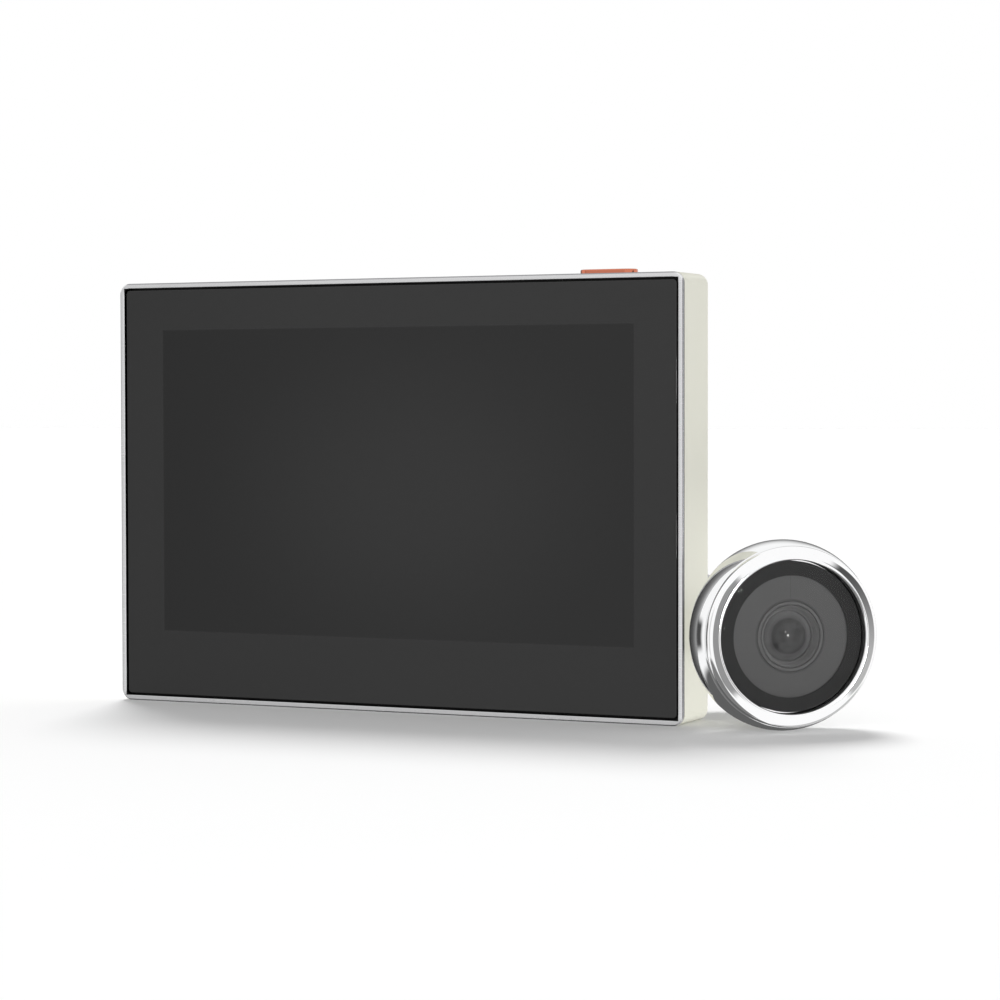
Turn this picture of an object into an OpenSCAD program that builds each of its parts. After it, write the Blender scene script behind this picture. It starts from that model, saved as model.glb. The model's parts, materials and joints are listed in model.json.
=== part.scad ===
// Peephole door camera: an indoor monitor and the outdoor camera unit that belongs to it.
// Millimetres. The monitor stands on z = 0 and faces -Y, and the origin is the middle of its
// bottom face. The camera unit stands beside it, turned towards +X.

/* [Monitor body] */
// Width of the monitor
mon_w = 113.5; // [110:0.5:140]
// Height of the monitor
mon_h = 78; // [76:0.5:100]
// Depth of the monitor from the bezel to the back
mon_t = 12.5; // [12.3:0.1:16]
// Corner radius of the monitor seen from the front
corner_r = 2; // [1.6:0.1:4]
// Radius along the rear edges of the housing
rear_r = 1.2; // [0.6:0.1:1.4]
// Wall of the rear housing
wall = 1.5; // [1.3:0.1:1.8]
// Back wall of the rear housing
back_t = 1.5; // [1.3:0.1:1.8]
// Thin front edge of the housing that goes round the bezel
tongue_w = 0.45; // [0.4:0.05:0.5]
// Open seam between the bezel and the housing
seam = 0.15; // [0.1:0.05:0.3]

/* [Bezel and glass] */
// Width of the bezel seen from the front
bezel_w = 0.95; // [0.9:0.05:1.4]
// Depth of the bezel seen from the side
bezel_side = 0.55; // [0.4:0.05:0.7]
// Reach of the ledge that carries the glass
ledge_w = 2.6; // [2.4:0.1:3]
// Depth of that ledge
ledge_t = 1.1; // [0.9:0.1:1.4]
// Thickness of the cover glass
glass_t = 1.1; // [0.9:0.1:1.3]
// How far the glass sits below the bezel
glass_sunk = 0.2; // [0.1:0.05:0.3]
// Gap round the glass
glass_gap = 0.3; // [0.1:0.05:0.35]
// Thickness of the glass tape
tape_t = 0.2; // [0.15:0.05:0.3]

/* [Display] */
// Black border at each side of the display field, with the bezel
disp_side = 9.25; // [8:0.05:12]
// Black border above the display field, with the bezel
disp_top = 8.8; // [8:0.1:12]
// Height of the display field's lower edge above the table
disp_z = 13.3; // [12:0.1:15]
// Border of the panel at its sides and top
panel_rim = 1.7; // [1:0.1:2]
// Border of the panel below the display, for its driver
panel_foot = 3.8; // [3:0.1:5]
// Thickness of the panel
panel_t = 1.5; // [1.2:0.1:1.6]
// Thickness of the light guide
guide_t = 1.8; // [1.4:0.1:2]
// Sheet thickness of the backlight tray
tray_t = 0.4; // [0.3:0.1:0.6]

/* [Inside the monitor] */
// Thickness of the mid frame's plate
plate_t = 1; // [0.8:0.1:1.2]
// Height of the board's standoffs
standoff_h = 0.5; // [0.4:0.1:0.8]
// Thickness of the circuit boards
board_t = 1; // [0.8:0.1:1.2]
// Room between the monitor's side and the main board or the battery
inner_side = 9.75; // [9.6:0.05:14]
// Room between the monitor's top and the main board
board_drop = 12; // [10:0.5:16]
// Room between the battery and the speaker below it
battery_gap = 2.6; // [1:0.1:10]
// Thickness of the battery
battery_t = 4.1; // [3:0.1:4.4]
// Radius of the speaker
speaker_r = 11; // [9:0.5:12]
// Depth of the speaker
speaker_t = 3.7; // [3:0.1:4]
// Radius of the housing screws
screw_r = 0.95; // [0.8:0.05:1.1]
// Radius of the board screws
board_screw_r = 0.7; // [0.6:0.05:0.8]

/* [Power button] */
// Length of the button
button_l = 10.6; // [8:0.1:11]
// Width of the button across the edge
button_w = 3.5; // [3:0.1:4]
// Height of the button above the top edge
button_proud = 0.9; // [0.8:0.05:1.3]
// Distance from the monitor's side to the button's middle
button_in = 16.45; // [14:0.05:22]
// Travel of the button
button_travel = 0.5; // [0.3:0.05:0.6]
// Gap round the button
button_gap = 0.12; // [0.08:0.02:0.2]

/* [Door plate] */
// Width of the door plate
plate_w = 70; // [64:1:78]
// Height of the door plate
plate_h = 54; // [50:1:58]
// Thickness of the door plate
plate_sheet = 1.5; // [1.2:0.1:2]
// Gap between the door plate and the housing
plate_gap = 0.2; // [0.15:0.05:0.4]
// Distance that the plate slides to unhook
hook_travel = 5; // [4:0.5:6]
// Distance from the plate's side to the middle of a wood screw slot
slot_in = 8; // [7:0.5:14]
// Radius of the wood screw slots
slot_r = 2.2; // [1.8:0.1:2.6]
// Length of the wood screw slots between end centres
slot_l = 6; // [4:0.5:10]
// Opening of the nut pocket in the housing's back
pocket_w = 25; // [22:0.5:26]

/* [Camera head] */
// Largest radius of the head
shell_r = 16.2; // [15.5:0.1:18]
// Radius of the curve of the head's side
bulge_r = 9.5; // [9:0.5:14]
// Length of the head's side from its widest line to the front ring
shell_front = 4; // [3.7:0.1:5]
// Length of the head from its widest line to its flat back
shell_back = 2.6; // [2.2:0.1:3.2]
// Thickness of the head's back wall
shell_floor = 1.8; // [1.4:0.1:2]
// Outer radius of the front ring
ring_r = 15.3; // [14.9:0.1:15.3]
// Radius of the round crest of the front ring
crest_r = 1.5; // [1.3:0.1:2]
// Radius of the window's opening in the ring
window_r = 12.95; // [12.6:0.05:13.1]
// Thickness of the window glass
window_t = 1; // [0.8:0.1:1.1]
// Radius of the smoked disc that shows inside the black print
smoked_r = 10.3; // [9.5:0.1:11]
// Gap round the window
window_gap = 0.2; // [0.1:0.05:0.3]

/* [Lens] */
// Radius of the lens hood
hood_r = 5.95; // [5.6:0.05:6.2]
// Radius of the lens body inside the barrel
lens_body_r = 4.4; // [4.1:0.1:4.6]
// Radius of the dark pupil ring
pupil_r = 3.1; // [2.6:0.1:3.4]

/* [Barrel and nut] */
// Outer radius of the barrel
barrel_r = 6; // [5.8:0.05:6.4]
// Wall of the barrel
barrel_wall = 1; // [0.8:0.1:1.1]
// Outer radius of the fixing nut
nut_r = 8.4; // [7.8:0.1:9.6]
// Thickness of the fixing nut
nut_t = 4.5; // [3.5:0.1:5]
// Travel of the nut along the barrel
nut_travel = 6; // [4:1:12]
// Running gap between the nut and the barrel
nut_gap = 0.1; // [0.06:0.02:0.2]
// Thickness of the clamp washer
washer_t = 1.2; // [0.8:0.1:2]
// Thickness of the door gasket
gasket_t = 1; // [0.6:0.1:2]

/* [Standing place of the camera unit] */
// Turn of the camera unit from the monitor's front
cam_turn = 41.6; // [38:0.1:46]
// Set back of the head's widest line from the bezel
cam_set = 2; // [0:0.1:3]
// Gap between the barrel and the monitor's rear edge
barrel_gap = 0.45; // [0.35:0.05:2]

/* [Hidden] */
$fn = 64;
cut = 1;
fit_gap = 0.05;
slip = 0.2;

// Depth of each layer of the monitor, front to back
y_front = -mon_t / 2;
y_back = mon_t / 2;
y_glass = y_front + glass_sunk;
y_tape = y_glass + glass_t;
y_ledge = y_tape + tape_t;
y_mid = y_ledge + ledge_t;
y_guide = y_tape + panel_t;
y_tray = y_guide + guide_t;
y_plate = y_tray + tray_t;
y_inside = y_plate + plate_t;
y_board = y_inside + standoff_h;
y_parts = y_board + board_t;
y_roof = y_back - back_t;
y_seam = y_front + bezel_side + seam;

// Places inside the monitor, measured from its walls
mid_z = mon_h / 2;
disp_w = mon_w - 2 * disp_side;
disp_h = mon_h - disp_z - disp_top;
button_x = mon_w / 2 - button_in;
slot_pitch = plate_w - 2 * slot_in;
frame_in = wall + slip;
screw_in = frame_in + 4.3;
screw_x = mon_w / 2 - screw_in;
screw_z = [screw_in, mon_h - screw_in];
screw_boss_r = screw_r + 1.75;
head_r = screw_r * 2;
head_t = 1.2;
counter_r = head_r + slip;
counter_t = head_t + slip;
pocket_up = 2;
pocket_z = mid_z + pocket_up;
pocket_d = 5;
pocket_wall = 1.2;
pocket_half = pocket_w / 2;
pocket_floor = y_back - pocket_d;
board_room = 3.3;
board_low = 0.5;
post_in = 3;
post_up = 4;
board_x0 = pocket_half + pocket_wall + board_room;
board_x1 = mon_w / 2 - inner_side;
board_w = board_x1 - board_x0;
board_z0 = wall + board_low;
board_z1 = mon_h - board_drop;
board_h = board_z1 - board_z0;
board_post_x = [board_x0 + post_in, board_x1 - post_in];
board_post_z = [board_z0 + post_up, board_z1 - post_up];
can_x = [board_x0 + board_w * 0.2, board_x1 - board_w * 0.1];
can_z = [board_z0 + board_h * 0.47, board_z0 + board_h * 0.81];
can_t = 1.8;
can_wall = 0.3;
chip_t = 1;
battery_room = 1.8;
battery_x1 = -pocket_half - pocket_wall - battery_room;
battery_w = mon_w / 2 - inner_side + battery_x1;
battery_z1 = mon_h - screw_in - screw_boss_r;
speaker_x = -mon_w / 2 + screw_in + 17.5;
speaker_z = wall + speaker_r + 3.5;
battery_h = battery_z1 - speaker_z - speaker_r - battery_gap;
usb_w = 9;
usb_t = 3.2;
usb_l = 7.4;
usb_x = (board_x0 + board_x1) / 2;
usb_sunk = 0.4;
mic_room = usb_x - usb_w / 2 - board_post_x[0] - 2 * board_screw_r;
mic_x = usb_x - usb_w / 2 - mic_room / 2;
mic_half = mic_room * 0.31;
socket_h = 8;
socket_t = 3;

// The power button, from the top edge down
button_top = mon_h + button_proud;
wall_in = mon_h - wall;
flange_t = 0.7;
flange_rim = 0.9;
flange_z = wall_in - 0.15;
nub_t = 0.55;
plunger_r = 1.1;
plunger_z = flange_z - flange_t - nub_t;
plunger_l = 1.6;
switch_top = plunger_z - 0.1 - button_travel;
switch_h = 2;
switch_w = 4.4;
switch_d = 2.2;
sboard_z = switch_top - switch_h;
sboard_w = button_l + 4;
sboard_y = max(-switch_d / 2 - 0.05, y_plate + fit_gap);

// The door plate and its hooks
plate_y = y_back + plate_gap;
hook_w = 6;
hook_x = pocket_half - 3.5;
hook_neck = 1.5;
hook_lip = 2.7;
hook_t = 1.4;
hook_gap = 0.15;
hook_z = [pocket_z - pocket_half - pocket_wall - 9.5, pocket_z + pocket_half + pocket_wall + hook_travel + 2];
pad_r = 3.5;
pad_t = plate_gap + plate_sheet;
pad_x = screw_x - 5;
pad_z = [screw_in + 5.5, mon_h - screw_in - 5.5];
cable_hole_r = barrel_r + 0.3;

// The camera head, measured along its axis from its widest line to the back
ring_t = 0.95;
ring_skirt = 0.55;
ring_mid = (ring_r + window_r) / 2;
ring_half = (ring_r - window_r) / 2;
window_front = -shell_front - 0.85;
window_back = window_front + window_t;
mask_t = 0.15;
seal_t = 0.35;
seal_w = 0.85;
mask_back = window_back + mask_t;
seal_back = mask_back + seal_t;
ledge_in = window_r - 1.35;
ring_ledge_t = 0.75;
ring_back = seal_back + ring_ledge_t;
bore_r = window_r + ring_skirt + 0.1;
smoked_t = 0.8;
smoked_front = mask_back + 0.1;
smoked_back = smoked_front + smoked_t;
smoked_edge = ledge_in - slip;
hood_wall = 0.6;
floor_in = shell_back - shell_floor;
led_board_back = floor_in;
led_board_t = 0.8;
led_front = led_board_back - led_board_t;
led_t = 0.8;
led_count = 6;
led_ring_r = (hood_r + smoked_edge) / 2;
led_r = 1;
led_screw_r = 0.6;
led_screw_count = 3;
barrel_in = barrel_r - barrel_wall;
lens_front = smoked_front;
lens_l = 12.5;
lens_step = 1.9;
lens_rise = 1.75;
lens_curve_r = 7;
lens_back = lens_front + lens_l;
lens_seat = lens_front + lens_step;

// Where the nut stays clear of the monitor's back, and the barrel that follows from it
cam_sin = sin(cam_turn);
cam_cos = cos(cam_turn);
cam_y = y_front + cam_set;
corner_x = mon_w / 2 - rear_r;
corner_y = y_back - rear_r;
cam_clear = barrel_r + barrel_gap + rear_r;
cam_x = corner_x + (cam_clear + (corner_y - cam_y) * cam_sin) / cam_cos;
nut_near = (y_back + pad_t + 0.5 - cam_y + nut_r * cam_sin) / cam_cos;
nut_rest = nut_near + nut_travel;
nut_front = nut_rest + washer_t;
nut_back = nut_front + nut_t;
nut_grooves = 12;
barrel_end = nut_back + 1.5;
plug_t = 2;

ivory = [0.86, 0.86, 0.80];
silver = [0.78, 0.78, 0.79];
chrome = [0.83, 0.84, 0.86];
copper = [0.84, 0.50, 0.38];
ink = [0.13, 0.13, 0.13];
dark = [0.20, 0.20, 0.20];
pcb = [0.08, 0.30, 0.16];
steel = [0.66, 0.67, 0.69];

// A rectangle with round corners
module rrect(w, h, r) {
    square([w - 2 * r, h], center = true);
    square([w, h - 2 * r], center = true);
    for (sx = [-1, 1], sz = [-1, 1])
        translate([sx * (w / 2 - r), sz * (h / 2 - r)]) circle(r = r);
}

// A rounded plate that stands upright between two depths
module slab(w, h, r, y0, y1, x = 0, z = mid_z) {
    translate([x, y1, z]) rotate([90, 0, 0]) linear_extrude(y1 - y0) rrect(w, h, r);
}

// The monitor's outline, set in from its edge
module inset_slab(inset, y0, y1) {
    slab(mon_w - 2 * inset, mon_h - 2 * inset, max(corner_r - inset, 0.5), y0, y1);
}

// A frame that follows the monitor's outline between two insets
module inset_ring(outer, inner, y0, y1) {
    difference() {
        inset_slab(outer, y0, y1);
        inset_slab(inner, y0 - cut, y1 + cut);
    }
}

// A box given by its two corners
module block(x, y, z) {
    translate([x[0], y[0], z[0]]) cube([x[1] - x[0], y[1] - y[0], z[1] - z[0]]);
}

// A round pin along the depth
module pin(r, y0, y1, x, z) {
    translate([x, y1, z]) rotate([90, 0, 0]) cylinder(r = r, h = y1 - y0);
}

// A stadium along X, upright between two heights
module stadium(l, w, z0, z1, x = 0) {
    translate([x, 0, z0]) linear_extrude(z1 - z0) union() {
        square([l - w, w], center = true);
        for (s = [-1, 1]) translate([s * (l - w) / 2, 0]) circle(d = w);
    }
}

// The camera unit's own frame: its axis is local Z, to the back, and local -Y is up
module in_camera() {
    translate([cam_x, cam_y, shell_r]) rotate([0, 0, cam_turn]) rotate([-90, 0, 0]) children();
}

// A round plate or tube on the camera's axis
module tube(outer, inner, z0, z1) {
    difference() {
        translate([0, 0, z0]) cylinder(r = outer, h = z1 - z0);
        if (inner > 0) translate([0, 0, z0 - cut]) cylinder(r = inner, h = z1 - z0 + 2 * cut);
    }
}

// Copies round the camera's axis
module around(count, radius, start = 0) {
    for (i = [0 : count - 1]) rotate([0, 0, start + i * 360 / count]) translate([radius, 0, 0]) children();
}

// The rounded rear of the housing, as a stack of outlines
module rear_cap() {
    hull() for (a = [0 : 15 : 90])
        inset_slab(rear_r * (1 - cos(a)), y_back - rear_r - 0.01, y_back - rear_r + max(rear_r * sin(a), 0.01));
}

// Places of the four housing screws
module at_screws() {
    for (x = [-screw_x, screw_x], z = screw_z) translate([x, 0, z]) children();
}

// Places of the four board screws
module at_board_posts() {
    for (x = board_post_x, z = board_post_z) translate([x, 0, z]) children();
}

// Places of the plate's hooks
module at_hooks() {
    for (x = [-hook_x, hook_x], z = hook_z) translate([x, 0, z]) children();
}

module cover_glass() color(ink) inset_slab(bezel_w + glass_gap, y_glass, y_tape);

module bezel_frame() color(silver) {
    inset_ring(0, bezel_w, y_front, y_front + bezel_side);
    inset_ring(tongue_w + fit_gap, bezel_w, y_front + bezel_side, y_ledge);
    inset_ring(tongue_w + fit_gap, ledge_w, y_ledge, y_mid);
}

module rear_housing() color(ivory) difference() {
    union() {
        difference() {
            union() {
                inset_slab(0, y_seam, y_back - rear_r);
                rear_cap();
            }
            inset_slab(tongue_w, y_seam - cut, y_mid + fit_gap);
            inset_slab(wall, y_mid, y_roof);
        }
        at_screws() pin(screw_boss_r, y_inside + 2, y_roof, 0, 0);
        slab(pocket_w + 2 * pocket_wall, pocket_w + 2 * pocket_wall, 3 + pocket_wall,
            pocket_floor - pocket_wall, y_roof, 0, pocket_z);
        for (s = [-1, 1])
            block([button_x + s * sboard_w / 3 - 0.6, button_x + s * sboard_w / 3 + 0.6],
                [sboard_y + 2, y_roof], [sboard_z - board_t - 1, sboard_z - board_t]);
    }
    slab(pocket_w, pocket_w, 3, pocket_floor, y_back + cut, 0, pocket_z);
    at_screws() pin(screw_r + slip, y_inside, y_back + cut, 0, 0);
    at_screws() pin(counter_r, y_back - counter_t, y_back + cut, 0, 0);
    stadium(button_l + 2 * button_gap, button_w + 2 * button_gap, wall_in - cut, mon_h + cut, button_x);
    block([usb_x - usb_w / 2 - slip, usb_x + usb_w / 2 + slip], [y_parts - slip, y_parts + usb_t + slip],
        [-cut, wall + cut]);
    translate([mic_x, y_parts + 0.55, -cut]) cylinder(r = 0.5, h = wall + 2 * cut);
    block([pocket_half - cut, pocket_half + pocket_wall + cut],
        [y_parts - fit_gap, y_parts + socket_t + fit_gap],
        [pocket_z - socket_h / 2 - fit_gap, pocket_z + socket_h / 2 + fit_gap]);
    at_hooks() block([-hook_w / 2 - 0.3, hook_w / 2 + 0.3], [y_roof - cut, y_back + cut],
        [-hook_travel - hook_gap, hook_neck + hook_gap]);
    for (ring = [0 : 2], i = [0 : max(ring * 6 - 1, 0)]) {
        angle = ring == 0 ? 0 : i * 60 / ring;
        pin(0.6, y_roof - cut, y_back + cut, speaker_x + ring * 2.6 * cos(angle),
            speaker_z + ring * 2.6 * sin(angle));
    }
}

module glass_tape() color(dark) inset_ring(bezel_w + glass_gap + 0.15, ledge_w - 0.1, y_tape, y_ledge);

panel_half = disp_w / 2 + panel_rim;
panel_z = [disp_z - panel_foot, disp_z + disp_h + panel_rim];
tray_gap = 0.3;
tray_wall = 0.5;

module lcd_panel() color(ink) block([-panel_half, panel_half], [y_tape, y_guide], panel_z);

module light_guide() color([0.93, 0.94, 0.95]) block([-panel_half, panel_half], [y_guide, y_tray], panel_z);

module backlight_tray() color(steel) difference() {
    block([-panel_half - tray_gap - tray_wall, panel_half + tray_gap + tray_wall], [y_tape + 0.3, y_plate],
        [panel_z[0] - tray_gap - tray_wall, panel_z[1] + tray_gap + tray_wall]);
    block([-panel_half - tray_gap, panel_half + tray_gap], [y_tape - cut, y_tray],
        [panel_z[0] - tray_gap, panel_z[1] + tray_gap]);
}

module mid_frame() color(dark) difference() {
    union() {
        inset_slab(frame_in, y_plate, y_inside);
        inset_ring(frame_in, frame_in + 1.2, y_mid, y_plate + fit_gap);
        at_screws() pin(screw_boss_r, y_plate, y_inside + 2, 0, 0);
        at_board_posts() pin(2, y_plate, y_board, 0, 0);
    }
    at_screws() pin(screw_r + fit_gap, y_plate + 0.3, y_inside + 2 + cut, 0, 0);
    at_board_posts() pin(board_screw_r + fit_gap, y_plate + 0.3, y_board + cut, 0, 0);
    block([button_x - sboard_w / 2 - 1, button_x + sboard_w / 2 + 1], [y_mid - cut, y_inside + cut],
        [sboard_z - board_t - 2, mon_h]);
}

module main_board() color(pcb) difference() {
    block([board_x0, board_x1], [y_board, y_parts], [board_z0, board_z1]);
    at_board_posts() pin(board_screw_r + slip, y_board - cut, y_parts + cut, 0, 0);
}

module shield_can() color(steel) difference() {
    block(can_x, [y_parts, y_parts + can_t], can_z);
    block([can_x[0] + can_wall, can_x[1] - can_wall], [y_parts - cut, y_parts + can_t - can_wall],
        [can_z[0] + can_wall, can_z[1] - can_wall]);
}

// A chip on the main board, its place and size as shares of the board
module chip(x, z, w, h, t) {
    block([board_x0 + x * board_w, board_x0 + (x + w) * board_w], [y_parts, y_parts + t * chip_t],
        [board_z0 + z * board_h, board_z0 + (z + h) * board_h]);
}

module board_parts() color(ink) {
    chip(0.3, 0.52, 0.46, 0.22, 1.2);
    chip(0.27, 0.28, 0.33, 0.125, 1);
    chip(0.68, 0.28, 0.17, 0.08, 2);
    chip(0.25, 0.85, 0.4, 0.1, 1.6);
    chip(0.05, 0.78, 0.12, 0.1, 2.4);
    for (i = [0 : 3]) chip(0.27 + i * 0.107, 0.195, 0.053, 0.04, 1.2);
    for (i = [0 : 4]) chip(0.04, 0.22 + i * 0.037, 0.04, 0.025, 0.7);
}

module battery_pack() color([0.72, 0.73, 0.75])
    slab(battery_w, battery_h, 2, y_inside, y_inside + battery_t, battery_x1 - battery_w / 2, battery_z1 - battery_h / 2);

module speaker() color(ink) {
    pin(speaker_r, y_roof - 1.2, y_roof, speaker_x, speaker_z);
    pin(speaker_r * 0.62, y_roof - speaker_t, y_roof - 1.2, speaker_x, speaker_z);
}

module microphone() color(steel)
    block([mic_x - mic_half, mic_x + mic_half], [y_parts, y_parts + 1.1], [board_z0, board_z0 + 3]);

module usb_socket() color(steel) difference() {
    slab(usb_w, usb_t, 1.5, 0, usb_l, 0, 0);
    slab(usb_w - 0.6, usb_t - 0.6, 1.2, 0.8, usb_l + cut, 0, 0);
}

// The socket lies along Y when drawn and is turned to open downwards
module usb_place() {
    translate([usb_x, y_parts + usb_t / 2, usb_sunk + usb_l]) rotate([-90, 0, 0]) children();
}

module camera_socket() color([0.9, 0.88, 0.8]) difference() {
    block([pocket_half + 0.1, board_x0 + 4], [y_parts, y_parts + socket_t],
        [pocket_z - socket_h / 2, pocket_z + socket_h / 2]);
    block([pocket_half - cut, board_x0], [y_parts + 0.6, y_parts + socket_t - 0.6],
        [pocket_z - socket_h / 2 + 0.8, pocket_z + socket_h / 2 - 0.8]);
}

module power_button() color(copper) {
    stadium(button_l, button_w, flange_z - flange_t, button_top, button_x);
    stadium(button_l + 2 * flange_rim, button_w + 2 * flange_rim, flange_z - flange_t, flange_z, button_x);
    translate([button_x, 0, plunger_z]) cylinder(r = 1, h = nub_t + 0.2);
}

module switch_plunger() color(ink)
    translate([button_x, 0, plunger_z - plunger_l]) cylinder(r = plunger_r, h = plunger_l);

module power_switch() color(steel) difference() {
    block([button_x - switch_w / 2, button_x + switch_w / 2], [-switch_d / 2, switch_d / 2], [sboard_z, switch_top]);
    translate([button_x, 0, sboard_z + 0.25]) cylinder(r = plunger_r + fit_gap, h = switch_h + cut);
}

module switch_board() color(pcb)
    block([button_x - sboard_w / 2, button_x + sboard_w / 2], [sboard_y, y_roof], [sboard_z - board_t, sboard_z]);

module housing_screws() color(steel) at_screws() {
    difference() {
        pin(head_r, y_back - counter_t, y_back - counter_t + head_t, 0, 0);
        for (a = [0, 90]) rotate([0, a, 0])
            block([-head_r * 0.55, head_r * 0.55], [y_back - counter_t + head_t * 0.45, y_back], [-0.2, 0.2]);
    }
    pin(screw_r, y_inside - 0.4, y_back - counter_t, 0, 0);
}

module board_screws() color(steel) at_board_posts() {
    pin(board_screw_r * 2, y_parts, y_parts + 0.7, 0, 0);
    pin(board_screw_r, y_inside - 0.4, y_parts, 0, 0);
}

module door_plate() color(steel) {
    difference() {
        slab(plate_w, plate_h, 4, plate_y, plate_y + plate_sheet, 0, pocket_z);
        pin(cable_hole_r, plate_y - cut, plate_y + plate_sheet + cut, 0, pocket_z);
        for (s = [-1, 1]) translate([s * slot_pitch / 2, plate_y + plate_sheet + cut, pocket_z]) rotate([90, 0, 0])
            linear_extrude(plate_sheet + 2 * cut) union() {
                square([slot_l, 2 * slot_r], center = true);
                for (e = [-1, 1]) translate([e * slot_l / 2, 0]) circle(r = slot_r);
            }
    }
    at_hooks() {
        block([-hook_w / 2, hook_w / 2], [y_roof - hook_gap - hook_t, plate_y], [0, hook_neck]);
        block([-hook_w / 2, hook_w / 2], [y_roof - hook_gap - hook_t, y_roof - hook_gap], [0, hook_neck + hook_lip]);
    }
}

module back_pads() color(dark)
    for (x = [-pad_x, pad_x], z = pad_z) pin(pad_r, y_back, y_back + pad_t, x, z);

module head_shell() color(chrome) in_camera() rotate_extrude() difference() {
    intersection() {
        translate([shell_r - bulge_r, 0]) circle(r = bulge_r);
        translate([0, -shell_front]) square([shell_r + cut, shell_front + shell_back]);
    }
    translate([-cut, -shell_front - cut]) square([bore_r + cut, shell_front + cut + floor_in]);
    translate([-cut, 0]) square([barrel_r + cut, shell_back + cut]);
}

module front_ring() color(chrome) in_camera() rotate_extrude() {
    intersection() {
        translate([ring_mid, -shell_front]) circle(r = crest_r);
        translate([window_r, -shell_front - crest_r - cut]) square([2 * ring_half, crest_r + cut]);
    }
    translate([window_r, -shell_front - 0.2]) square([ring_skirt, ring_back + shell_front + 0.2]);
    translate([ledge_in, seal_back]) square([window_r - ledge_in + ring_skirt, ring_ledge_t]);
}

module window_glass() color([0.75, 0.78, 0.80])
    in_camera() tube(window_r - window_gap, 0, window_front, window_back);

module window_mask() color(ink) in_camera() tube(window_r - window_gap, smoked_r, window_back, mask_back);

module window_seal() color(dark)
    in_camera() tube(window_r - window_gap, window_r - window_gap - seal_w, mask_back, seal_back);

module smoked_disc() color([0.32, 0.32, 0.32])
    in_camera() tube(smoked_edge, hood_r + fit_gap, smoked_front, smoked_back);

module lens_hood() color(ink) in_camera() {
    tube(hood_r, hood_r - hood_wall, smoked_front - 0.05, led_front);
    tube(hood_r + 1.2, hood_r - hood_wall, led_front - 0.6, led_front);
}

module lens_barrel() color(dark) in_camera() {
    tube(hood_r - hood_wall - fit_gap, lens_body_r - 0.1, lens_front, lens_seat);
    tube(lens_body_r, pupil_r, lens_seat, lens_back);
    tube(hood_r - hood_wall - fit_gap, lens_body_r, lens_seat, floor_in);
    tube(barrel_in - fit_gap, lens_body_r, floor_in, floor_in + 2);
}

module front_lens() color([0.10, 0.11, 0.14]) in_camera() intersection() {
    translate([0, 0, lens_seat - lens_rise + lens_curve_r]) sphere(r = lens_curve_r);
    translate([0, 0, lens_seat - lens_step]) cylinder(r = lens_body_r - 0.15, h = lens_step);
}

module rear_lens() color([0.16, 0.18, 0.24])
    in_camera() tube(pupil_r, 0, lens_seat + 3, lens_seat + 4.6);

module infrared_filter() color([0.50, 0.62, 0.66])
    in_camera() tube(pupil_r, 0, lens_back - 1.8, lens_back - 1.4);

module image_sensor() color(ink)
    in_camera() translate([-2, -1.6, lens_back - 0.8]) cube([4, 3.2, 0.8]);

module sensor_board() color(pcb) in_camera() tube(barrel_in - fit_gap, 0, lens_back, lens_back + board_t);

module led_board() color(pcb) in_camera() difference() {
    tube(bore_r - slip, hood_r - hood_wall, led_front, led_board_back);
    around(led_screw_count, bore_r - 2.4, 30) translate([0, 0, led_front - cut]) cylinder(r = led_screw_r + fit_gap, h = 5);
}

module infrared_leds() color([0.92, 0.90, 0.82]) in_camera()
    around(led_count, led_ring_r) translate([0, 0, led_front - led_t]) cylinder(r = led_r, h = led_t);

module led_board_screws() color(steel) in_camera() around(led_screw_count, bore_r - 2.4, 30) {
    translate([0, 0, led_front - 0.5]) cylinder(r = led_screw_r * 1.8, h = 0.5);
    translate([0, 0, led_front]) cylinder(r = led_screw_r, h = led_board_t);
}

module barrel_tube() color(chrome) in_camera() difference() {
    tube(barrel_r, barrel_in, floor_in, barrel_end);
    translate([0, 0, barrel_end - 0.6]) cylinder(r1 = barrel_in, r2 = barrel_in + 0.6, h = 0.61);
}

module door_gasket() color(dark) in_camera() tube(shell_r - 1, barrel_r + slip, shell_back, shell_back + gasket_t);

module clamp_washer() color(steel) in_camera() tube(nut_r, barrel_r + nut_gap, nut_rest, nut_front - 0.02);

module fixing_nut() color(chrome) in_camera() difference() {
    tube(nut_r, barrel_r + nut_gap, nut_front, nut_back);
    around(nut_grooves, nut_r + 0.3, 15) translate([0, 0, nut_front - cut]) cylinder(r = 0.9, h = nut_t + 2 * cut);
}

module barrel_plug() color(dark) in_camera() difference() {
    tube(barrel_in - fit_gap, 0, barrel_end - 0.6 - plug_t, barrel_end - 0.6);
    translate([-2.6, -1.2, barrel_end - plug_t - 2]) cube([5.2, 2.4, plug_t + 4]);
}

module cable_socket() color([0.9, 0.88, 0.8]) in_camera() difference() {
    translate([-2.55, -1.15, barrel_end - 5.6]) cube([5.1, 2.3, 4.6]);
    translate([-2.1, -0.7, barrel_end - 4.2]) cube([4.2, 1.4, 5]);
}

cover_glass();
bezel_frame();
rear_housing();
glass_tape();
lcd_panel();
light_guide();
backlight_tray();
mid_frame();
main_board();
shield_can();
board_parts();
battery_pack();
speaker();
microphone();
usb_place() usb_socket();
camera_socket();
power_button();
switch_plunger();
power_switch();
switch_board();
housing_screws();
board_screws();
door_plate();
back_pads();
head_shell();
front_ring();
window_glass();
window_mask();
window_seal();
smoked_disc();
lens_hood();
lens_barrel();
front_lens();
rear_lens();
infrared_filter();
image_sensor();
sensor_board();
led_board();
infrared_leds();
led_board_screws();
barrel_tube();
door_gasket();
clamp_washer();
fixing_nut();
barrel_plug();
cable_socket();
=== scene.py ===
"""Studio scene of a peephole door camera: an indoor monitor and its outdoor camera unit."""

import json
import logging
import math
from collections.abc import Sequence
from dataclasses import dataclass
from enum import Enum

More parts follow.
